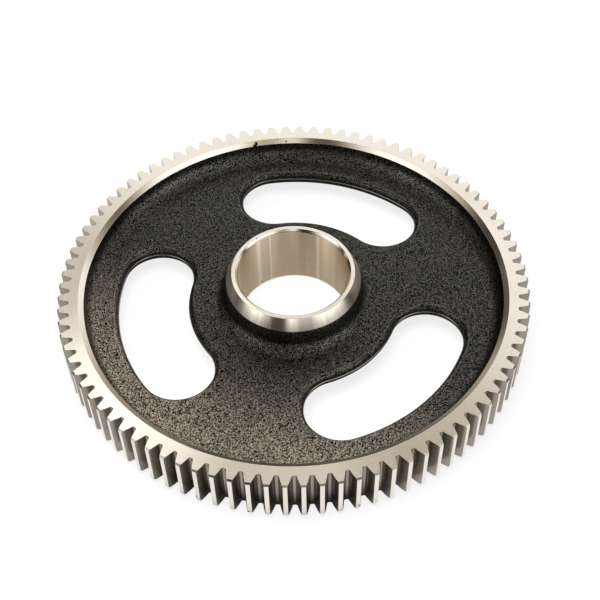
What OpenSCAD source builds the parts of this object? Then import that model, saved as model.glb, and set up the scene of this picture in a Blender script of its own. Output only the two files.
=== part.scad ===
// Idler gear: one forged steel wheel with a black skin, turned at the rim and hub,
// bored, and hobbed with straight spur teeth. The axis is Z and the hub's lower face is z = 0.

/* [Teeth] */
// Number of teeth round the rim
teeth = 90; // [84:1:100]
// Module: pitch diameter divided by the number of teeth
tooth_module = 2.5; // [2.4:0.05:2.75]
// Pressure angle of the teeth in degrees
pressure_angle = 20; // [18:0.5:22.5]
// Radius of the round where a flank runs into the bottom of a gap
root_round = 0.75; // [0.4:0.05:0.8]
// Turn of the first tooth from +X in degrees
tooth_turn = 3; // [0:0.5:4]
// Face width of the rim along the axis
face_w = 25; // [22:0.5:30]
// Chamfer on the tips of the teeth at both faces
tip_chamfer = 0.8; // [0.3:0.1:1.5]

/* [Rim] */
// Wall between the bottom of the tooth gaps and the bore of the rim
rim_wall = 6.9; // [5:0.1:9]
// Width of the turned bevel inside each face of the rim
rim_bevel_w = 2.5; // [1:0.1:4]
// Depth of the turned bevel inside each face of the rim
rim_bevel_h = 1.7; // [1:0.1:2.5]
// Draft of the forged walls in degrees
forging_draft = 5; // [2:0.5:7]

/* [Web] */
// Depth of the web's upper face below the rim's upper face
web_drop = 10.5; // [9.5:0.5:12]
// Thickness of the web
web_t = 8; // [7:0.5:9]
// Fillet between the web and the rim on the upper side
rim_fillet = 7; // [4:0.5:8]
// Fillet between the web and the rim on the lower side
rim_fillet_low = 3.5; // [1.5:0.5:4]
// Fillet between the web and the hub on the upper side
hub_fillet = 6; // [3:0.5:8]
// Fillet between the web and the hub on the lower side
hub_fillet_low = 4.5; // [2:0.5:5]

/* [Hub] */
// Diameter of the bore
bore_d = 54; // [50:1:60]
// Length of the hub along the axis
hub_len = 35; // [34:0.5:40]
// Height of the rim's lower face above the hub's lower face
rim_lift = 2; // [1:0.5:4]
// Chamfer at both ends of the bore
bore_chamfer = 1.2; // [0.5:0.1:2]
// Width of the flat upper face of the hub outside the bore chamfer
hub_land = 1.8; // [1:0.1:3]
// Width of the turned cone round the top of the hub
hub_cone_w = 3; // [1.5:0.1:4]
// Height of the turned cone round the top of the hub
hub_cone_h = 6; // [4:0.1:7]
// Chamfer round the lower end of the hub
hub_chamfer_low = 1.5; // [0.5:0.1:2.5]

/* [Windows] */
// Number of kidney-shaped windows through the web
windows = 3; // [2:1:3]
// Turn of the first window's middle from +X in degrees
window_turn = 72; // [0:1:119]
// Half of the angle between the centres of a window's round ends
window_half = 25; // [15:0.5:27]
// Web left between the hub's wall and a window
hub_band = 19.4; // [16:0.5:22]
// Web left between the rim's bore and a window
rim_band = 15.5; // [14:0.5:20]
// Round on the forged edges of a window
window_edge = 3; // [1.5:0.25:3.25]
// Height of the trimmed flash line halfway down a window's wall
flash_h = 0.35; // [0.1:0.05:0.6]
// Width of the trimmed flash line
flash_w = 0.7; // [0.4:0.1:0.9]

/* [Hidden] */
$fn = 96;
over = 1;
// A fillet's circle is this much larger than its corner needs, so it crosses the walls and doesn't only touch
blend = 0.02;
flank_steps = 4;
fillet_steps = 3;
rad = 180 / PI;

// Tooth radii. The dedendum is the usual 1.25 modules.
dedendum = 1.25;
pitch_r = teeth * tooth_module / 2;
tip_r = pitch_r + tooth_module;
root_r = pitch_r - dedendum * tooth_module;
base_r = pitch_r * cos(pressure_angle);
pitch_angle = 360 / teeth;

// Heights along the axis
rim_z0 = rim_lift;
rim_z1 = rim_z0 + face_w;
web_z1 = rim_z1 - web_drop;
web_z0 = web_z1 - web_t;
web_mid = (web_z0 + web_z1) / 2;

// Radii of the turned and forged walls
rim_in = root_r - rim_wall;
bore_r = bore_d / 2;
land_r = bore_r + bore_chamfer + hub_land;
hub_r = land_r + hub_cone_w;
cone_z = hub_len - hub_cone_h;
wall_lean = tan(forging_draft);

// Windows
window_in = hub_r + hub_band;
window_out = rim_in - rim_band;
window_mid = (window_in + window_out) / 2;
window_hw = (window_out - window_in) / 2;

function involute(a) = tan(a) * rad - a;
function at(r, a) = [r * cos(a), r * sin(a)];
// Half of the tooth's angle on the base circle
base_half = pitch_angle / 4 + involute(pressure_angle);
function flank(r) = at(r, base_half - involute(acos(base_r / r)));

// The fillet circle touches the root circle and the flank, and its centre lies on the flank's normal.
normal_len = sqrt(pow(root_r + root_round, 2) - pow(base_r, 2));
fillet_r = sqrt(pow(base_r, 2) + pow(normal_len - root_round, 2));
touch_a = base_half - tan(acos(base_r / fillet_r)) * rad;
centre_a = touch_a + atan(normal_len / base_r);
sweep_a = centre_a - touch_a - 90;
flank_step = (tip_r + tip_chamfer - fillet_r) / flank_steps;

// One side of a tooth from above its tip down to the bottom of the gap
tooth_side = concat(
    [for (i = [flank_steps:-1:1]) flank(fillet_r + i * flank_step)],
    [for (i = [0:fillet_steps])
        at(root_r + root_round, centre_a) + at(root_round, touch_a - 90 + sweep_a * i / fillet_steps)]
);
last = len(tooth_side) - 1;
tooth = concat(
    [for (i = [last:-1:0]) [tooth_side[i][0], -tooth_side[i][1]]],
    tooth_side
);
function turned(p, a) = [p[0] * cos(a) - p[1] * sin(a), p[0] * sin(a) + p[1] * cos(a)];
tooth_outline = [for (k = [0:teeth - 1], p = tooth) turned(p, tooth_turn + k * pitch_angle)];

// Filler between the web and a wall that leans away by the draft, with a round of radius r.
// The corner is at the origin, the open side lies towards x of sign sx and y of sign sy.
module corner(r, sx, sy) {
    t = r / tan(45 + forging_draft / 2);
    on_wall = [-t * sin(forging_draft), t * cos(forging_draft)];
    mirror([sx < 0 ? 1 : 0, 0]) mirror([0, sy < 0 ? 1 : 0]) difference() {
        polygon([[t, -over], [t, 0], on_wall, on_wall - [over, 0], [-over, -over]]);
        translate([t, r]) circle(r + blend);
    }
}

// Half-section of the turned forging, from the bore out to the tips
module section() {
    hub_low_r = hub_r + (web_z0 - hub_chamfer_low) * wall_lean;
    hub_web_r = hub_r + (cone_z - web_z1) * wall_lean;
    rim_web_r = rim_in - (rim_z1 - rim_bevel_h - web_z1) * wall_lean;
    rim_low_r = rim_in - (web_z0 - rim_z0 - rim_bevel_h) * wall_lean;
    // Hub with its bore chamfers, upper cone and forged wall
    polygon([
        [bore_r, bore_chamfer], [bore_r + bore_chamfer, 0], [hub_r - hub_chamfer_low, 0],
        [hub_r, hub_chamfer_low], [hub_low_r, web_z0], [hub_web_r, web_z1], [hub_r, cone_z],
        [land_r, hub_len], [bore_r + bore_chamfer, hub_len], [bore_r, hub_len - bore_chamfer]
    ]);
    // Web from inside the hub to inside the rim
    translate([hub_r - over, web_z0]) square([rim_in - hub_r + 2 * over, web_t]);
    // Rim with its bevels and chamfered tips
    polygon([
        [rim_in + rim_bevel_w, rim_z0], [tip_r - tip_chamfer, rim_z0], [tip_r, rim_z0 + tip_chamfer],
        [tip_r, rim_z1 - tip_chamfer], [tip_r - tip_chamfer, rim_z1], [rim_in + rim_bevel_w, rim_z1],
        [rim_in, rim_z1 - rim_bevel_h], [rim_web_r, web_z1], [rim_low_r, web_z0],
        [rim_in, rim_z0 + rim_bevel_h]
    ]);
    translate([hub_web_r, web_z1]) corner(hub_fillet, 1, 1);
    translate([hub_low_r, web_z0]) corner(hub_fillet_low, 1, -1);
    translate([rim_web_r, web_z1]) corner(rim_fillet, -1, 1);
    translate([rim_low_r, web_z0]) corner(rim_fillet_low, -1, -1);
}

// Cross-section of a window's cut on one side of its middle line, with rounded edges and the flash line
module window_wall(hw) {
    difference() {
        union() {
            translate([0, web_z0 - over]) square([hw + flash_h, web_t + 2 * over]);
            for (z = [web_z0 - over, web_z1 - window_edge])
                translate([0, z]) square([hw + flash_h + window_edge, window_edge + over]);
        }
        for (z = [web_z0 + window_edge, web_z1 - window_edge])
            translate([hw + flash_h + window_edge, z]) circle(window_edge);
        translate([hw, web_mid - flash_w / 2]) square([2 * flash_h, flash_w]);
    }
}

// One kidney-shaped window: an arc slot with round ends
module window_cut() {
    rotate([0, 0, -window_half]) rotate_extrude(angle = 2 * window_half) translate([window_mid, 0]) {
        window_wall(window_hw);
        mirror([1, 0]) window_wall(window_hw);
    }
    for (s = [-1, 1])
        rotate([0, 0, s * window_half]) translate([window_mid, 0, 0])
            rotate_extrude() window_wall(window_hw);
}

module idler_gear() color("dimgray") difference() {
    intersection() {
        rotate_extrude() section();
        translate([0, 0, -over]) linear_extrude(hub_len + 2 * over) polygon(tooth_outline);
    }
    for (k = [0:windows - 1])
        rotate([0, 0, window_turn + k * 360 / windows]) window_cut();
}

idler_gear();
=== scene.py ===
# Idler gear: a toothed wheel with a black forged web, three kidney windows and a turned hub.
# Run in Blender 4.5. Sizes in the dictionaries are millimetres and degrees, scales of patterns are
# per metre, and the scene is in metres.
import math
import bpy
import bmesh
from mathutils import Matrix, Vector
from types import SimpleNamespace


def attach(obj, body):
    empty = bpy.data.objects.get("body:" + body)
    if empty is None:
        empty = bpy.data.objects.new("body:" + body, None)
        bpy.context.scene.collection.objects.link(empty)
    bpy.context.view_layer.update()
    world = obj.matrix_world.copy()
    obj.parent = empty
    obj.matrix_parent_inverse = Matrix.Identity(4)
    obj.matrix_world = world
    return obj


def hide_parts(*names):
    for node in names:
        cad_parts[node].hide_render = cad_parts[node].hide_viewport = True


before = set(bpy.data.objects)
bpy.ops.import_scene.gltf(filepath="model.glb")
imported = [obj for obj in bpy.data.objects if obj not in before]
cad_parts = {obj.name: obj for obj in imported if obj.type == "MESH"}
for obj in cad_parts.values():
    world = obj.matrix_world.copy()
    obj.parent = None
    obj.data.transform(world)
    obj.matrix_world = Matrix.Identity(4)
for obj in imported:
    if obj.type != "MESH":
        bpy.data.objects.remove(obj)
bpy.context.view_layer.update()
print("frame loaded")

mm = 0.001
scene = bpy.context.scene

camera = {
    "target": (0, 0, 27),  # middle of the rim's upper face
    "distance": 542.93,
    "elevation": 49.029,
    "roll": -1.5785,
    "yaw": -0.3454,
    "pitch": -0.9463,
    "lens": 66.495,
    "sensor": 36,
    "clip": (10, 20000),
}


def placeCamera(c):
    rise = math.radians(c["elevation"])
    target = Vector(c["target"]) * mm
    away = Vector((0, -math.cos(rise), math.sin(rise)))
    forward, right = -away, Vector((1, 0, 0))
    up = right.cross(forward)
    lean = math.radians(c["roll"])
    across, along = math.cos(lean), math.sin(lean)
    right, up = across * right + along * up, across * up - along * right
    swing = Matrix.Rotation(math.radians(c["yaw"]), 3, up)
    forward, right = swing @ forward, swing @ right
    nod = Matrix.Rotation(math.radians(c["pitch"]), 3, right)
    forward, up = nod @ forward, nod @ up
    data = bpy.data.cameras.new("photoCamera")
    data.sensor_width = c["sensor"]
    data.lens = c["lens"]
    data.clip_start, data.clip_end = c["clip"][0] * mm, c["clip"][1] * mm
    made = bpy.data.objects.new("photoCamera", data)
    scene.collection.objects.link(made)
    place = Matrix((right, up, -forward)).transposed().to_4x4()
    place.translation = target + away * c["distance"] * mm
    made.matrix_world = place
    scene.camera = made


placeCamera(camera)
print("camera placed")


class Sock:
    # one output of a node, so that arithmetic in Python adds Math nodes
    def __init__(self, graph, socket):
        self.graph = graph
        self.socket = socket

    def calc(self, operation, a, b=0.0):
        return self.graph.calc(operation, a, b)

    def __add__(self, other):
        return self.calc("ADD", self, other)

    def __radd__(self, other):
        return self.calc("ADD", other, self)

    def __sub__(self, other):
        return self.calc("SUBTRACT", self, other)

    def __rsub__(self, other):
        return self.calc("SUBTRACT", other, self)

    def __mul__(self, other):
        return self.calc("MULTIPLY", self, other)

    def __rmul__(self, other):
        return self.calc("MULTIPLY", other, self)

    def __truediv__(self, other):
        return self.calc("DIVIDE", self, other)

    def __rtruediv__(self, other):
        return self.calc("DIVIDE", other, self)

    def __pow__(self, other):
        return self.calc("POWER", self, other)

    def smallest(self, other):
        return self.calc("MINIMUM", self, other)

    def size(self):
        return self.calc("ABSOLUTE", self)

    def root(self):
        return self.calc("SQRT", self)

    def turnOf(self, other):
        return self.calc("ARCTAN2", self, other)

    def ramp(self, low, high, toLow=0.0, toHigh=1.0):
        kind = {"interpolation_type": "SMOOTHSTEP"}
        return self.graph.node("ShaderNodeMapRange", kind, {0: self, 1: low, 2: high, 3: toLow, 4: toHigh})


class Graph:
    # the node tree of a material or world, emptied and built anew
    def __init__(self, owner):
        owner.use_nodes = True
        self.tree = owner.node_tree
        self.tree.nodes.clear()

    def node(self, kind, settings=None, sockets=None, out=0):
        made = self.tree.nodes.new(kind)
        for name, value in (settings or {}).items():
            if name == "stops":
                self.fillRamp(made.color_ramp, value)
            else:
                setattr(made, name, value)
        for key, value in (sockets or {}).items():
            self.feed(made.inputs[key], value)
        return Sock(self, made.outputs[out]) if len(made.outputs) else made

    def feed(self, socket, value):
        if isinstance(value, Sock):
            self.tree.links.new(value.socket, socket)
        elif isinstance(value, tuple) and len(value) == 3 and socket.type == "RGBA":
            socket.default_value = (*value, 1)
        else:
            socket.default_value = value

    def fillRamp(self, ramp, stops):
        while len(ramp.elements) < len(stops):
            ramp.elements.new(1)
        for element, (place, shade) in zip(ramp.elements, stops):
            element.position = place
            element.color = (*shade, 1)

    def calc(self, operation, a, b=0.0):
        return self.node("ShaderNodeMath", {"operation": operation}, {0: a, 1: b})

    def position(self):
        return self.node("ShaderNodeTexCoord", out="Object")

    def rays(self, *kinds):
        # 1 for a ray of that kind, else 0
        path = self.node("ShaderNodeLightPath").socket.node
        return [Sock(self, path.outputs[kind]) for kind in kinds]

    def split(self, vector):
        made = self.node("ShaderNodeSeparateXYZ", None, {0: vector})
        return [Sock(self, o) for o in made.socket.node.outputs]

    def join(self, x, y, z):
        return self.node("ShaderNodeCombineXYZ", None, {0: x, 1: y, 2: z})

    def noise(self, vector, scale=1, detail=2, roughness=0.5):
        sockets = {"Vector": vector, "Scale": scale, "Detail": detail, "Roughness": roughness}
        return self.node("ShaderNodeTexNoise", None, sockets)

    def cloud(self, vector, scale):
        return self.noise(vector, scale, 3, 0.55)

    def cells(self, vector, scale, out):
        return self.node("ShaderNodeTexVoronoi", None, {"Vector": vector, "Scale": scale}, out)

    def blend(self, factor, a, b, how="MIX"):
        kind = {"data_type": "RGBA", "blend_type": how, "clamp_factor": True}
        return self.node("ShaderNodeMix", kind, {0: factor, 6: a, 7: b}, 2)

    def bump(self, height, distance, strength=1.0, normal=None):
        sockets = {"Height": height, "Distance": distance, "Strength": strength}
        if normal:
            sockets["Normal"] = normal
        return self.node("ShaderNodeBump", None, sockets)

    def principled(self, sockets):
        shader = self.node("ShaderNodeBsdfPrincipled", None, sockets)
        self.node("ShaderNodeOutputMaterial", None, {"Surface": shader})


skin = {
    "dark": (0.003, 0.003, 0.0033),
    "speck": (0.155, 0.151, 0.141),
    "dustAndSheen": (0.77, 0.66, 0.535),  # pale grinding dust, and a painted highlight where the light's sheen falls on that side of the web
    "warmTint": (1.0, 0.92, 0.82),
    "coolTint": (0.88, 0.96, 1.0),
    "grainScale": 3200,
    "grainEdge": (0.5, 0.74),  # half of the grains stay dark, and those above 0.74 are full specks
    "grainDepth": 0.07,
    "cloudScale": 26,
    "waveScale": 70,
    "waveDepth": 0.6,
    "waveStrength": 0.5,
    "roughness": 0.4,
    "cloudGloss": 0.14,  # how far clouds and grains change the roughness
    "grainGloss": 0.1,
    "dustSheenTurn": 242,  # side of the web with the dust and the painted highlight
    "dustSheenReach": (5, 100),  # from where it begins to where it is full, out on that side
    "dustSheenRadius": (40, 94),
    "dustSheenPatches": (0.2, 0.7, 0.7, 1.0),  # noise of 0.2 leaves 0.7 of the dust and painted highlight, 0.7 leaves it all
}
# the edges of the windows are rubbed smoother, and their lighter colour is a painted highlight line
rubbedHighlight = {**skin, "dark": (0.03, 0.03, 0.031), "speck": (0.24, 0.235, 0.22), "roughness": 0.3}


def forgedSkin(name, s):
    made = bpy.data.materials.new(name)
    g = Graph(made)
    place = g.position()
    x, y, z = g.split(place)
    seed, other, third = g.split(g.cells(place, s["grainScale"], "Color"))
    cloud = g.cloud(place, s["cloudScale"])
    side = math.radians(s["dustSheenTurn"])
    toward = (x * math.cos(side) + y * math.sin(side)) / mm
    radius = (x * x + y * y).root() / mm
    # dust and painted highlight: the web is lighter out towards one side, partly from settled dust and
    # partly as a painted sheen of the light
    dustSheen = toward.ramp(*s["dustSheenReach"]) * radius.ramp(*s["dustSheenRadius"]) * cloud.ramp(*s["dustSheenPatches"])
    tint = g.blend(other, s["warmTint"], s["coolTint"])
    speck = seed.ramp(*s["grainEdge"])
    shade = g.blend(speck, s["dark"], s["speck"])
    shade = g.blend(dustSheen * speck, shade, s["dustAndSheen"])
    shade = g.blend(1.0, shade, tint, "MULTIPLY")
    rough = s["roughness"] + (cloud - 0.5) * s["cloudGloss"] + (third - 0.5) * s["grainGloss"]
    grain = g.noise(place, s["grainScale"], 1)
    waves = g.bump(g.noise(place, s["waveScale"]), s["waveDepth"] * mm, s["waveStrength"])
    normal = g.bump(grain, s["grainDepth"] * mm, 1.0, waves)
    g.principled({"Base Color": shade, "Roughness": rough, "Normal": normal, "Metallic": 1.0})
    return made


blot = {
    "shade": (0.012, 0.011, 0.01),
    "raggedScale": 1500,
    "edge": (0.4, 0.6),  # shares of a blot's size
    "rougher": 0.3,
}


def blotted(g, place, blots, shade, rough):
    # small dark marks: each is a turn, a radius, a height and a size
    for turn, radius, height, size in blots:
        side = math.radians(turn)
        middle = (radius * math.cos(side) * mm, radius * math.sin(side) * mm, height * mm)
        kind = {"operation": "DISTANCE"}
        away = g.node("ShaderNodeVectorMath", kind, {0: place, 1: middle}, "Value")
        ragged = away / mm + (g.noise(place, blot["raggedScale"]) - 0.5) * size
        inner, outer = blot["edge"]
        mark = ragged.ramp(size * inner, size * outer, 1, 0)
        shade = g.blend(mark, shade, blot["shade"])
        rough = rough + mark * blot["rougher"]
    return shade, rough


# what every turned or ground face shares
turned = {
    "lineScale": 9000,  # fine tool lines and the wider bands between them
    "bandScale": 1300,
    "lineTurn": 2.2,  # how often lines and bands change in a radian of turn
    "bandTurn": 1.2,
    "cloudScale": 34,
    "lineShare": 0.4,
    "bandShare": 0.35,
    "cloudShare": 0.25,
    "contrast": (0.36, 0.64),
    "streakAlong": 9,
    "streakEdge": (0.3, 0.7),
    "streaks": 0.15,
    "linesAlong": "height",
    "gloss": 0.05,  # how far lines and clouds change the roughness
    "depth": 0.004,
    "lineDepth": 0.6,
    "bandDepth": 0.5,
    "strength": 0.4,
    "blots": [],
    "paintedGlints": [],
}


def turnedSteel(name, s):
    # fine tool lines run round the axis, so they change mostly with the radius or the height,
    # and gloss is drawn out across them
    made = bpy.data.materials.new(name)
    g = Graph(made)
    place = g.position()
    x, y, z = g.split(place)
    radius = (x * x + y * y).root()
    turn = y.turnOf(x)
    along = radius if s["linesAlong"] == "radius" else z
    lines = g.join(along * s["lineScale"], turn * s["lineTurn"], 0.0)
    lines = g.noise(lines, detail=3, roughness=0.7)
    bands = g.join(along * s["bandScale"], turn * s["bandTurn"], 7.0)
    bands = g.noise(bands, roughness=0.6)
    streaks = g.join(turn * s["streakScale"], along * s["streakAlong"], 3.0)
    streaks = g.noise(streaks, roughness=0.6).ramp(*s["streakEdge"])
    cloud = g.cloud(place, s["cloudScale"])
    grey = lines * s["lineShare"] + bands * s["bandShare"] + cloud * s["cloudShare"]
    grey = grey * (1 - s["streaks"]) + streaks * s["streaks"]
    shade = g.blend(grey.ramp(*s["contrast"]), s["dull"], s["bright"])
    rough = s["roughness"] + (lines - 0.5) * s["gloss"] + (cloud - 0.5) * s["gloss"]
    # painted highlights: brighter upright streaks at given turns
    for middle, reach in s["paintedGlints"]:
        away = (turn - math.radians(middle)).size()
        paintedGlint = away.ramp(0, math.radians(reach), s["paintedGlintStrength"], 0)
        shade = g.blend(paintedGlint, shade, s["paintedGlintShade"])
    shade, rough = blotted(g, place, s["blots"], shade, rough)
    height = lines * s["lineDepth"] + bands * s["bandDepth"]
    normal = g.bump(height, s["depth"] * mm, s["strength"])
    g.principled({"Base Color": shade, "Roughness": rough, "Normal": normal, "Metallic": 1.0,
                  "Anisotropic": s["drawn"], "Anisotropic Rotation": 0.25})
    return made


rimFinish = {
    **turned,
    "bright": (0.90, 0.83, 0.735),
    "dull": (0.83, 0.755, 0.65),
    "roughness": 0.18,
    "drawn": 0.7,
    "streakScale": 3,
    "linesAlong": "radius",
    "blots": [  # nicks on the far bevel, and one on the hub's upper face
        (100.2, 103.6, 26.1, 1.9),
        (100.6, 102.6, 25.4, 2.2),
        (91, 103.2, 25.8, 0.9),
        (93.5, 104.6, 26.7, 0.6),
        (128.5, 28.4, 35, 0.7),
    ],
}
coneFinish = {
    **turned,
    "bright": (0.88, 0.81, 0.71),
    "dull": (0.74, 0.66, 0.55),
    "roughness": 0.29,
    "drawn": 0.95,
    "streakScale": 9,
    "streaks": 0.4,
}
boreFinish = {
    **turned,
    "bright": (0.82, 0.68, 0.50),
    "dull": (0.68, 0.555, 0.395),
    "roughness": 0.42,
    "drawn": 0.95,
    "streakScale": 5.2,
    "streakEdge": (0.4, 0.7),
    "blots": [(127, 27, 3, 0.9), (13.3, 27, 15.5, 1.2), (13.3, 27, 17, 1.2), (13.3, 27, 18.5, 1.2)],
    "paintedGlints": [(61.5, 2.7), (114.5, 1.44), (129, 4.8)],  # painted highlights: brighter upright streaks, as turn and half width
    "paintedGlintShade": (1.0, 0.93, 0.80),
    "paintedGlintStrength": 0.7,
}
tipFinish = {
    **turned,
    "bright": (0.88, 0.83, 0.755),
    "dull": (0.80, 0.745, 0.67),
    "roughness": 0.26,
    "drawn": 0.4,
    "streakScale": 90,
    "blots": [(246.5, 115, 5.5, 1.1), (258.6, 115, 3.6, 1.2), (283.2, 115, 4.5, 1.0)],
}
flank = {
    "bright": (0.33, 0.295, 0.248),
    "dull": (0.26, 0.233, 0.196),
    "contrast": (0.36, 0.64),
    "markTurn": 420,  # per radian: shaving marks lie across the face width
    "markRadius": 2600,
    "markHeight": 60,
    "markShare": 0.4,
    "cloudShare": 0.6,
    "cloudScale": 60,
    "roughness": 0.24,
    "markGloss": 0.05,
    "cloudGloss": 0.06,
    "depth": 0.003,
    "strength": 0.4,
}


def cutSteel(s):
    made = bpy.data.materials.new("cutSteel")
    g = Graph(made)
    place = g.position()
    x, y, z = g.split(place)
    radius = (x * x + y * y).root()
    marks = g.join(y.turnOf(x) * s["markTurn"], radius * s["markRadius"], z * s["markHeight"])
    marks = g.noise(marks, roughness=0.6)
    cloud = g.cloud(place, s["cloudScale"])
    grey = marks * s["markShare"] + cloud * s["cloudShare"]
    shade = g.blend(grey.ramp(*s["contrast"]), s["dull"], s["bright"])
    rough = s["roughness"] + (marks - 0.5) * s["markGloss"] + (cloud - 0.5) * s["cloudGloss"]
    normal = g.bump(marks, s["depth"] * mm, s["strength"])
    g.principled({"Base Color": shade, "Roughness": rough, "Normal": normal, "Metallic": 1.0})
    return made


finishes = [
    forgedSkin("forgedSkin", skin),
    turnedSteel("turnedFace", rimFinish),
    turnedSteel("boredWall", boreFinish),
    turnedSteel("turnedCone", coneFinish),
    turnedSteel("turnedTip", tipFinish),
    cutSteel(flank),
    forgedSkin("rubbedHighlightSkin", rubbedHighlight),
]
skinSlot, faceSlot, boreSlot, coneSlot, tipSlot, toothSlot, rubbedHighlightSlot = range(len(finishes))
print("finishes made")

gear = {
    "teeth": 90,
    "module": 2.5,
    "pressureAngle": 20,
    "dedendum": 1.25,  # in modules
    "rootRound": 0.75,
    "toothTurn": 3,
    "faceWidth": 25,
    "tipChamfer": 0.8,
    "rimWall": 6.9,
    "rimBevelWidth": 2.5,
    "rimBevelDepth": 1.7,
    "draft": 5,
    "webDrop": 10.5,
    "webThick": 8,
    "rimFillet": 7,
    "rimFilletLow": 3.5,
    "hubFillet": 6,
    "hubFilletLow": 4.5,
    "bore": 54,
    "hubLength": 35,
    "rimLift": 2,
    "boreChamfer": 1.2,
    "boreLip": 0.35,  # inner part of the bore's upper chamfer, which is darker: a painted shade line along the bore's edge
    "hubLand": 1.8,
    "hubConeWidth": 3,
    "hubConeHeight": 6,
    "hubChamferLow": 1.5,
    "windows": 3,
    "windowTurn": 72,
    "windowHalf": 25,
    "hubBand": 19.4,
    "rimBand": 15.5,
    "windowEdge": 3,
    "rubbedHighlightDepth": (0.1, 0.3),  # how far below the web's upper face its window edges are rubbed and painted lighter as a highlight
    "flashHeight": 0.35,
    "flashTrim": 0.02,  # cut off the flash's crest
    "flashWidth": 0.7,
    "flashCrest": 0.33,  # half of the crest's width, as a share of the flash's width
    "flashHighlight": 0.49,  # the part above the middle, given the lighter cut-steel finish as a painted highlight line, also a share of the width
    "edgeBreak": 0.14,
    "sharpAngle": 30,  # edges that turn by more than this are broken
    "flatWeight": 80,  # how far large faces set the shading at their edges
    "stepsPerTooth": 3,
    "flankSteps": 6,
    "roundSteps": 5,
    "filletSteps": 9,
    "edgeSteps": 7,
    "windowSteps": (44, 30, 70),  # along the inner side, round an end and along the outer side
    "weld": 0.001,
    "weldTooth": 0.0005,
    "weldRing": 0.004,
}


def gearSizes(g):
    # heights and radii that follow from the driving sizes
    d = SimpleNamespace()
    d.pitch = g["teeth"] * g["module"] / 2
    d.root = d.pitch - g["dedendum"] * g["module"]
    d.rimIn = d.root - g["rimWall"]
    d.faceIn = d.rimIn + g["rimBevelWidth"]
    d.low = g["rimLift"]
    d.high = d.low + g["faceWidth"]
    d.wallLow, d.wallHigh = d.low + g["rimBevelDepth"], d.high - g["rimBevelDepth"]
    d.webHigh = d.high - g["webDrop"]
    d.webLow = d.webHigh - g["webThick"]
    d.bore = g["bore"] / 2
    d.land = d.bore + g["boreChamfer"] + g["hubLand"]
    d.hub = d.land + g["hubConeWidth"]
    d.cone = g["hubLength"] - g["hubConeHeight"]
    windowIn, windowOut = d.hub + g["hubBand"], d.rimIn - g["rimBand"]
    d.windowMiddle = (windowIn + windowOut) / 2
    d.windowWidth = windowOut - windowIn
    d.steps = g["teeth"] * g["stepsPerTooth"]
    d.startTurn = g["toothTurn"] + 180 / g["teeth"]
    return d


def arc(centre, radius, start, end, steps):
    turns = [math.radians(start + (end - start) * i / steps) for i in range(steps + 1)]
    return [(centre[0] + radius * math.cos(t), centre[1] + radius * math.sin(t)) for t in turns]


def fillet(corner, radius, sideways, upwards, draft, steps):
    # round between a drafted wall and the web, from the wall down to the web
    across = radius / math.tan(math.radians(45 + draft / 2))
    return [(corner[0] + sideways * (across + x), corner[1] + upwards * (radius + y))
            for x, y in arc((0, 0), radius, 180 + draft, 270, steps)]


def addTo(bm, part):
    # a spin slows down with the size of its mesh, so each part is made apart and then joined in
    carrier = bpy.data.meshes.new("carrier")
    part.to_mesh(carrier)
    part.free()
    bm.from_mesh(carrier)
    bpy.data.meshes.remove(carrier)


def spinChain(part, chain, steps, slot, angle=360, centre=(0, 0, 0)):
    # sweeps a chain of edges round an upright axis
    before = set(part.faces)
    made = bmesh.ops.spin(part, geom=chain, cent=centre, axis=(0, 0, 1), dvec=(0, 0, 0),
                          angle=math.radians(angle), steps=steps, use_merge=abs(angle) == 360,
                          use_normal_flip=False, use_duplicate=False)
    for face in set(part.faces) - before:
        face.material_index = slot
    return made["geom_last"]


def newChain(part, points, turn):
    # a chain of (radius, height) points in the upright plane at that turn
    flat = Vector((math.cos(math.radians(turn)), math.sin(math.radians(turn)), 0))
    verts = [part.verts.new(flat * r + Vector((0, 0, z))) for r, z in points]
    return verts + [part.edges.new(pair) for pair in zip(verts, verts[1:])]


def addRing(bm, points, d, slot):
    part = bmesh.new()
    spinChain(part, newChain(part, points, d.startTurn), d.steps, slot)
    addTo(bm, part)


def vertsOf(geom):
    return [v for v in geom if isinstance(v, bmesh.types.BMVert)]


def toothOutline(g, d):
    # half of one tooth about the X axis, from the tip down to the middle of the gap
    press = math.radians(g["pressureAngle"])
    base = d.pitch * math.cos(press)
    half = math.pi / g["teeth"] / 2 + math.tan(press) - press
    small = g["rootRound"]
    normal = math.sqrt((d.root + small) ** 2 - base ** 2)
    touchRadius = math.sqrt(base ** 2 + (normal - small) ** 2)
    touch = half - math.tan(math.acos(base / touchRadius))
    centre = touch + math.atan(normal / base)
    tip = d.pitch + g["module"]
    points = []
    for i in range(g["flankSteps"] + 1):
        r = tip + (touchRadius - tip) * i / g["flankSteps"]
        lean = math.acos(base / r)
        a = half - (math.tan(lean) - lean)
        points.append((r * math.cos(a), r * math.sin(a)))
    cx, cy = (d.root + small) * math.cos(centre), (d.root + small) * math.sin(centre)
    sweep = centre - touch - math.pi / 2
    for i in range(1, g["roundSteps"] + 1):
        a = touch - math.pi / 2 + sweep * i / g["roundSteps"]
        points.append((cx + small * math.cos(a), cy + small * math.sin(a)))
    gap = math.pi / g["teeth"]
    points.append((d.root * math.cos(gap), d.root * math.sin(gap)))
    return points


def chamferTip(bm, g, tip):
    # gives the tooth's tip its finish and chamfers its two end edges
    def atTip(part):
        return all(abs(v.co.x - tip) < g["weld"] for v in part.verts)

    for face in bm.faces:
        if atTip(face):
            face.material_index = tipSlot
    ends = [e for e in bm.edges if atTip(e) and abs(e.verts[0].co.z - e.verts[1].co.z) < g["weld"]]
    bmesh.ops.bevel(bm, geom=ends, offset=g["tipChamfer"], offset_type="OFFSET", affect="EDGES",
                    segments=1, profile=0.5, material=toothSlot)


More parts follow.
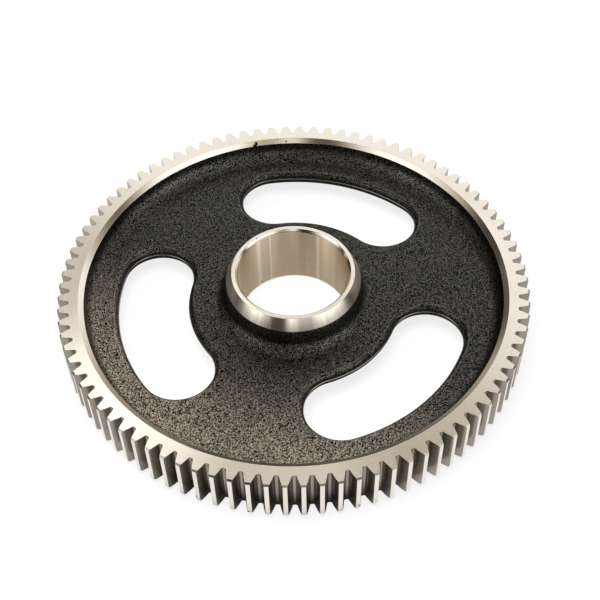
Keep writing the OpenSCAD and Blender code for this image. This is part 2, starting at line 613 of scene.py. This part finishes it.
def toothRing(g, d):
    # one tooth with its share of the rim's faces, then copies of it all round
    bm = bmesh.new()
    half = toothOutline(g, d)
    outline = [(x, -y) for x, y in reversed(half)] + half
    spread = math.pi / g["teeth"]
    shares = [1 - 2 * i / g["stepsPerTooth"] for i in range(g["stepsPerTooth"] + 1)]
    innerEdge = [(d.faceIn * math.cos(spread * s), d.faceIn * math.sin(spread * s)) for s in shares]
    upper = [bm.verts.new((x, y, d.high)) for x, y in outline]
    upperIn = [bm.verts.new((x, y, d.high)) for x, y in innerEdge]
    edges = [bm.edges.new(pair) for pair in zip(upper, upper[1:])]
    down = (0, 0, d.low - d.high)
    walls = bmesh.ops.extrude_edge_only(bm, edges=edges)["geom"]
    bmesh.ops.translate(bm, verts=vertsOf(walls), vec=down)
    for face in bm.faces:
        face.material_index = toothSlot
    top = bm.faces.new(upper + upperIn)
    top.material_index = faceSlot
    copy = bmesh.ops.duplicate(bm, geom=[top] + list(top.edges) + list(top.verts))["geom"]
    bmesh.ops.translate(bm, verts=vertsOf(copy), vec=down)
    bmesh.ops.remove_doubles(bm, verts=bm.verts, dist=g["weldTooth"])
    bmesh.ops.recalc_face_normals(bm, faces=bm.faces)
    chamferTip(bm, g, half[0][0])
    turn = Matrix.Rotation(math.radians(g["toothTurn"]), 3, "Z")
    bmesh.ops.rotate(bm, verts=bm.verts, cent=(0, 0, 0), matrix=turn)
    copies = g["teeth"] - 1
    bmesh.ops.spin(bm, geom=bm.verts[:] + bm.edges[:] + bm.faces[:], cent=(0, 0, 0), axis=(0, 0, 1),
                   dvec=(0, 0, 0), angle=2 * math.pi / g["teeth"] * copies, steps=copies,
                   use_merge=False, use_normal_flip=False, use_duplicate=True)
    bmesh.ops.remove_doubles(bm, verts=bm.verts, dist=g["weldTooth"])
    return bm


def onCircle(radius, turn):
    return Matrix.Rotation(math.radians(turn), 3, "Z") @ Vector((radius, 0, 0))


def windowWall(bm, g, d, turn):
    # the wall's section is swept along the inner side, one round end, the outer side and the other end
    edge, flash = g["windowEdge"], g["flashWidth"]
    wall = d.windowWidth / 2 + g["flashHeight"]
    crest = d.windowWidth / 2 + g["flashTrim"]
    mid = (d.webLow + d.webHigh) / 2
    rise = flash * g["flashCrest"]
    upper = arc((wall + edge, d.webHigh - edge), edge, 90, 180, g["edgeSteps"])
    lower = arc((wall + edge, d.webLow + edge), edge, 180, 270, g["edgeSteps"])
    ridge = [(wall, mid + flash / 2), (crest, mid + rise), (crest, mid - rise), (wall, mid - flash / 2)]
    section = [(d.windowMiddle - out, z) for out, z in upper + ridge + lower]
    half = g["windowHalf"]
    first, second = onCircle(d.windowMiddle, turn - half), onCircle(d.windowMiddle, turn + half)
    innerSteps, endSteps, outerSteps = g["windowSteps"]
    part = bmesh.new()
    last = newChain(part, section, turn - half)
    last = spinChain(part, last, innerSteps, skinSlot, 2 * half)
    last = spinChain(part, last, endSteps, skinSlot, -180, second)
    last = spinChain(part, last, outerSteps, skinSlot, -2 * half)
    spinChain(part, last, endSteps, skinSlot, -180, first)
    # the band just below the upper face takes the rubbed finish with its painted highlight
    least, most = g["rubbedHighlightDepth"]
    for face in part.faces:
        level = face.calc_center_median().z
        if d.webHigh - most < level < d.webHigh - least:
            face.material_index = rubbedHighlightSlot
        # painted highlight line: the flash above its middle takes the lighter cut-steel finish
        if mid < level < mid + flash * g["flashHighlight"]:
            face.material_index = toothSlot
    bmesh.ops.remove_doubles(part, verts=part.verts, dist=g["weld"])
    addTo(bm, part)


def forgedWalls(bm, g, d):
    # forged walls with their fillets, from the turned edge to the web
    lean = math.tan(math.radians(g["draft"]))
    foot = g["hubChamferLow"]
    rimHigh = (d.rimIn - (d.wallHigh - d.webHigh) * lean, d.webHigh)
    rimLow = (d.rimIn - (d.webLow - d.wallLow) * lean, d.webLow)
    hubHigh = (d.hub + (d.cone - d.webHigh) * lean, d.webHigh)
    hubLow = (d.hub + (d.webLow - foot) * lean, d.webLow)
    for start, corner, radius, sideways, upwards in (
            ((d.rimIn, d.wallHigh), rimHigh, g["rimFillet"], -1, 1),
            ((d.rimIn, d.wallLow), rimLow, g["rimFilletLow"], -1, -1),
            ((d.hub, d.cone), hubHigh, g["hubFillet"], 1, 1),
            ((d.hub, foot), hubLow, g["hubFilletLow"], 1, -1)):
        wall = [start] + fillet(corner, radius, sideways, upwards, g["draft"], g["filletSteps"])
        addRing(bm, wall, d, skinSlot)


def turnedFaces(bm, g, d):
    # rim bevels, cone, land, chamfers and bore
    foot, top, chamfer, lip = g["hubChamferLow"], g["hubLength"], g["boreChamfer"], g["boreLip"]
    for slot, points in (
            (faceSlot, [(d.faceIn, d.high), (d.rimIn, d.wallHigh)]),
            (faceSlot, [(d.faceIn, d.low), (d.rimIn, d.wallLow)]),
            (coneSlot, [(d.hub, d.cone), (d.land, top)]),
            (faceSlot, [(d.land, top), (d.bore + chamfer, top)]),
            (faceSlot, [(d.bore + chamfer, top), (d.bore + lip, top - chamfer + lip)]),
            # painted shade line along the bore's edge, in the darker cut-steel finish
            (toothSlot, [(d.bore + lip, top - chamfer + lip), (d.bore, top - chamfer)]),
            (boreSlot, [(d.bore, top - chamfer), (d.bore, chamfer)]),
            (coneSlot, [(d.bore, chamfer), (d.bore + chamfer, 0)]),
            (faceSlot, [(d.bore + chamfer, 0), (d.hub - foot, 0)]),
            (coneSlot, [(d.hub - foot, 0), (d.hub, foot)])):
        addRing(bm, points, d, slot)


def webFaces(bm, g, d):
    # each face of the web lies between all the open loops at its height
    for height in (d.webLow, d.webHigh):
        loops = [e for e in bm.edges if len(e.link_faces) == 1
                 and all(abs(v.co.z - height) < g["weld"] for v in e.verts)]
        filled = bmesh.ops.triangle_fill(bm, use_beauty=True, use_dissolve=False, edges=loops,
                                         normal=(0, 0, 1))
        for face in filled["geom"]:
            if isinstance(face, bmesh.types.BMFace):
                face.material_index = skinSlot


def finishPiece(bm, g, name):
    # makes the object, breaks its sharp edges and keeps the result as a plain mesh
    mesh = bpy.data.meshes.new(name)
    bm.to_mesh(mesh)
    bm.free()
    for material in finishes:
        mesh.materials.append(material)
    mesh.shade_smooth()
    piece = bpy.data.objects.new(name, mesh)
    scene.collection.objects.link(piece)
    edge = piece.modifiers.new("edgeBreak", "BEVEL")
    edge.width = g["edgeBreak"] * mm
    edge.segments = 2
    edge.limit_method = "ANGLE"
    edge.angle_limit = math.radians(g["sharpAngle"])
    edge.use_clamp_overlap = True
    weigh = piece.modifiers.new("facesKeepFlat", "WEIGHTED_NORMAL")
    weigh.mode = "FACE_AREA"
    weigh.weight = g["flatWeight"]
    weigh.keep_sharp = False
    bpy.context.view_layer.update()
    view = bpy.context.evaluated_depsgraph_get()
    finished = bpy.data.meshes.new_from_object(piece.evaluated_get(view))
    piece.modifiers.clear()
    piece.data = finished
    finished.name = name
    return piece


def buildGear(g):
    d = gearSizes(g)
    bm = bmesh.new()
    forgedWalls(bm, g, d)
    turnedFaces(bm, g, d)
    for k in range(g["windows"]):
        windowWall(bm, g, d, g["windowTurn"] + k * 360 / g["windows"])
    bmesh.ops.remove_doubles(bm, verts=bm.verts, dist=g["weld"])
    webFaces(bm, g, d)
    addTo(bm, toothRing(g, d))
    bmesh.ops.remove_doubles(bm, verts=bm.verts, dist=g["weldRing"])
    bmesh.ops.recalc_face_normals(bm, faces=bm.faces)
    openEdges = sum(len(e.link_faces) != 2 for e in bm.edges)
    print("gear faces", len(bm.faces), "open edges", openEdges)
    bmesh.ops.scale(bm, vec=(mm, mm, mm), verts=bm.verts)
    piece = finishPiece(bm, g, "toothedWheel")
    print("triangles", sum(len(p.vertices) - 2 for p in piece.data.polygons))
    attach(piece, "root")
    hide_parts("idler_gear")


buildGear(gear)
print("gear built")

studio = {
    "floorSize": 760,
    "floorDrop": 0.05,  # below the gear
    "floorWhite": 0.5,
    "glowNear": 0.82,  # share of the floor's white that needs no light, close to the gear
    "glowFar": 1.0,
    "glowReach": (112, 130),
    # how bright the floor is in reflections: under the gear, where it is a painted shadow, outside it, and
    # below the bore, where it is a painted pool of light
    "glossShadowNear": 0.2,
    "glossFar": 1.0,
    "glossReach": (106, 115.5),
    "borePoolGloss": 0.42,
    "boreReach": (30, 40),
    "frontward": (-0.14, -0.99),  # painted shadow: the floor under the gear is dimmer in reflections on this side
    "frontEdge": (0.78, 0.95),
    "frontShadowDim": 0.75,
    "frontShift": 5,
    "rearEdge": (-0.1, 0.5),  # and the floor outside it is dimmer in reflections at the back, a painted shade
    "rearReach": (150, 300),
    "rearDim": 0.6,
    "panels": [  # name, place, side and watts
        ("overheadPanel", (-40, -130, 690), 320, 9.5),
        ("sidePanel", (-430, 210, 560), 260, 2.6),
    ],
}

# the surroundings: heights and places are parts of a direction of length 1
sky = {
    "plainLight": 0.2,
    "lowCards": (0.3, 0.55),  # below these heights the cards at the sides stand further forward
    "shiftLeft": 1.1,
    "shiftRight": 0.7,
    "shiftEdge": 0.05,
    "frontEdge": (-0.15, 0.2),
    "frontGain": 1.2,  # and the front is brighter
    "rearLow": (0.1, 0.35),
    "rearEdge": (0.3, 0.8),
    "rearDim": 0.7,  # the rear is dimmer low down
    # patches: middle, where they are full, where they end, and how strong they are
    "dimPatch": ((-0.70, 0.66, 0.2), 0.25, 0.5, 0.96),
    "wallPatch": ((0, 0.7, 0.72), 0.35, 0.55, 1),
    "wallBright": ((-0.15, 0.56, 0.815), 0.05, 0.11, 1.3),
    "wallDark": ((-0.19, 0.65, 0.735), 0.04, 0.1, 0.8),
    "strip": ((0, 0.35, 0.936), 0.08, 0.16, 1),
    "wallHeight": (0.75, 0.865),
    "wallLow": 1.06,
    "wallHigh": 0.33,
    "overheadEdge": (0.965, 0.985),
    "overhead": 0.6,
    "tintLevels": (0.25, 1.05),
    "dimTint": (1.0, 0.85, 0.66),
    "paleTint": (1.0, 1.0, 1.0),
    # bright and dark cards round the gear: 0 is behind it, 0.25 left, 0.5 in front and 0.75 right
    "cards": [
        (0.00, 1.05),
        (0.10, 1.05),
        (0.125, 0.06),
        (0.176, 0.04),
        (0.195, 0.30),
        (0.207, 0.60),
        (0.235, 0.85),
        (0.262, 1.35),
        (0.32, 1.35),
        (0.37, 0.55),
        (0.398, 0.03),
        (0.455, 0.02),
        (0.487, 1.10),
        (0.54, 0.40),
        (0.57, 0.45),
        (0.61, 1.35),
        (0.74, 1.35),
        (0.787, 0.12),
        (0.81, 0.10),
        (0.875, 1.05),
    ],
}


def buildFloor(s):
    # white to the camera, a level of its own in reflections with a painted shadow under the gear, and
    # paper that takes the shadow between
    bm = bmesh.new()
    bmesh.ops.create_grid(bm, x_segments=2, y_segments=2, size=s["floorSize"] / 2 * mm)
    bmesh.ops.translate(bm, verts=bm.verts, vec=(0, 0, -s["floorDrop"] * mm))
    mesh = bpy.data.meshes.new("floor")
    bm.to_mesh(mesh)
    bm.free()
    floor = bpy.data.objects.new("floor", mesh)
    scene.collection.objects.link(floor)
    made = bpy.data.materials.new("paperFloor")
    g = Graph(made)
    paper = g.node("ShaderNodeBsdfDiffuse", None, {"Color": (s["floorWhite"],) * 3})
    seen, glossy = g.rays("Is Camera Ray", "Is Glossy Ray")
    x, y, z = g.split(g.position())
    away = (x * x + y * y).root()
    radius = away / mm
    share = seen * radius.ramp(*s["glowReach"], s["glowNear"], s["glowFar"])
    toX, toY = s["frontward"]
    front = (x / away * toX + y / away * toY).ramp(*s["frontEdge"])
    rear = (y / away).ramp(*s["rearEdge"]) * radius.ramp(*s["rearReach"])
    # painted shadow and light in reflections: dimmer under the gear, most at the front, and brighter under
    # the bore
    under = s["glossShadowNear"] * (1 - front * s["frontShadowDim"])
    gloss = (radius - front * s["frontShift"]).ramp(*s["glossReach"], under, s["glossFar"])
    gloss = gloss + radius.ramp(*s["boreReach"], s["borePoolGloss"], 0)
    level = seen + glossy * gloss * (1 - rear * s["rearDim"])
    glow = g.node("ShaderNodeEmission", None, {"Color": (1, 1, 1), "Strength": level})
    factor = (share + glossy).smallest(1.0)
    shader = g.node("ShaderNodeMixShader", None, {0: factor, 1: paper, 2: glow})
    g.node("ShaderNodeOutputMaterial", None, {"Surface": shader})
    mesh.materials.append(made)


def patch(direction, centre, inner, outer, strength):
    # strength round one direction, falling to 0
    away = [(part - at) ** 2.0 for part, at in zip(direction, centre)]
    return (away[0] + away[1] + away[2]).root().ramp(inner, outer, strength, 0)


def buildWorld(s):
    # white to the camera, a plain light on the gear, and cards and a wall in reflections
    world = bpy.data.worlds.new("studio")
    scene.world = world
    g = Graph(world)
    straight, through, glossy = g.rays("Is Camera Ray", "Is Transmission Ray", "Is Glossy Ray")
    seen = straight + through
    direction = g.split(g.node("ShaderNodeTexCoord", out="Generated"))
    x, y, z = direction
    low = z.ramp(*s["lowCards"], 1, 0)
    place = x.turnOf(0 - y) / (2 * math.pi)
    shift = place.ramp(-s["shiftEdge"], s["shiftEdge"], s["shiftLeft"], s["shiftRight"])
    place = place * (1 + place.size() * low * shift) + 0.5
    stops = [(at, (level / 2,) * 3) for at, level in s["cards"]]  # halved, to keep below 1
    cards = g.node("ShaderNodeValToRGB", {"stops": stops}, {0: place}) * 2
    cards = cards * (1 + low * (0 - y).ramp(*s["frontEdge"]) * s["frontGain"])
    cards = cards * (1 - z.ramp(*s["rearLow"], 1, 0) * y.ramp(*s["rearEdge"]) * s["rearDim"])
    cards = cards * (1 - patch(direction, *s["dimPatch"]))
    # the wall behind, which the rim's face and the web reflect, differs with its height
    wall = z.ramp(*s["wallHeight"], s["wallLow"], s["wallHigh"])
    wall = wall + patch(direction, *s["wallBright"]) - patch(direction, *s["wallDark"])
    bright = cards + (wall - cards) * patch(direction, *s["wallPatch"])
    above = z.ramp(*s["overheadEdge"])
    bright = bright * (1 - above) + above * s["overhead"] + patch(direction, *s["strip"])
    shade = g.blend(bright.ramp(*s["tintLevels"]), s["dimTint"], s["paleTint"])
    shade = g.blend(glossy, (1, 1, 1), shade)
    shade = g.blend(seen.smallest(1.0), shade, (1, 1, 1))
    level = glossy * bright + (1 - glossy) * (seen + (1 - seen) * s["plainLight"])
    light = g.node("ShaderNodeBackground", None, {"Color": shade, "Strength": level})
    g.node("ShaderNodeOutputWorld", None, {"Surface": light})


def addPanel(name, place, side, power):
    # a square lamp that faces the gear and isn't seen in it
    data = bpy.data.lights.new(name, "AREA")
    data.shape = "RECTANGLE"
    data.size, data.size_y = side * mm, side * mm
    data.energy = power
    made = bpy.data.objects.new(name, data)
    scene.collection.objects.link(made)
    away = Vector(place) * mm
    facing = away.to_track_quat("Z", "Y").to_matrix().to_4x4()
    made.matrix_world = Matrix.Translation(away) @ facing
    made.visible_glossy = False


buildFloor(studio)
buildWorld(sky)
for panel in studio["panels"]:
    addPanel(*panel)
scene.view_settings.view_transform = "Standard"
print("studio set")
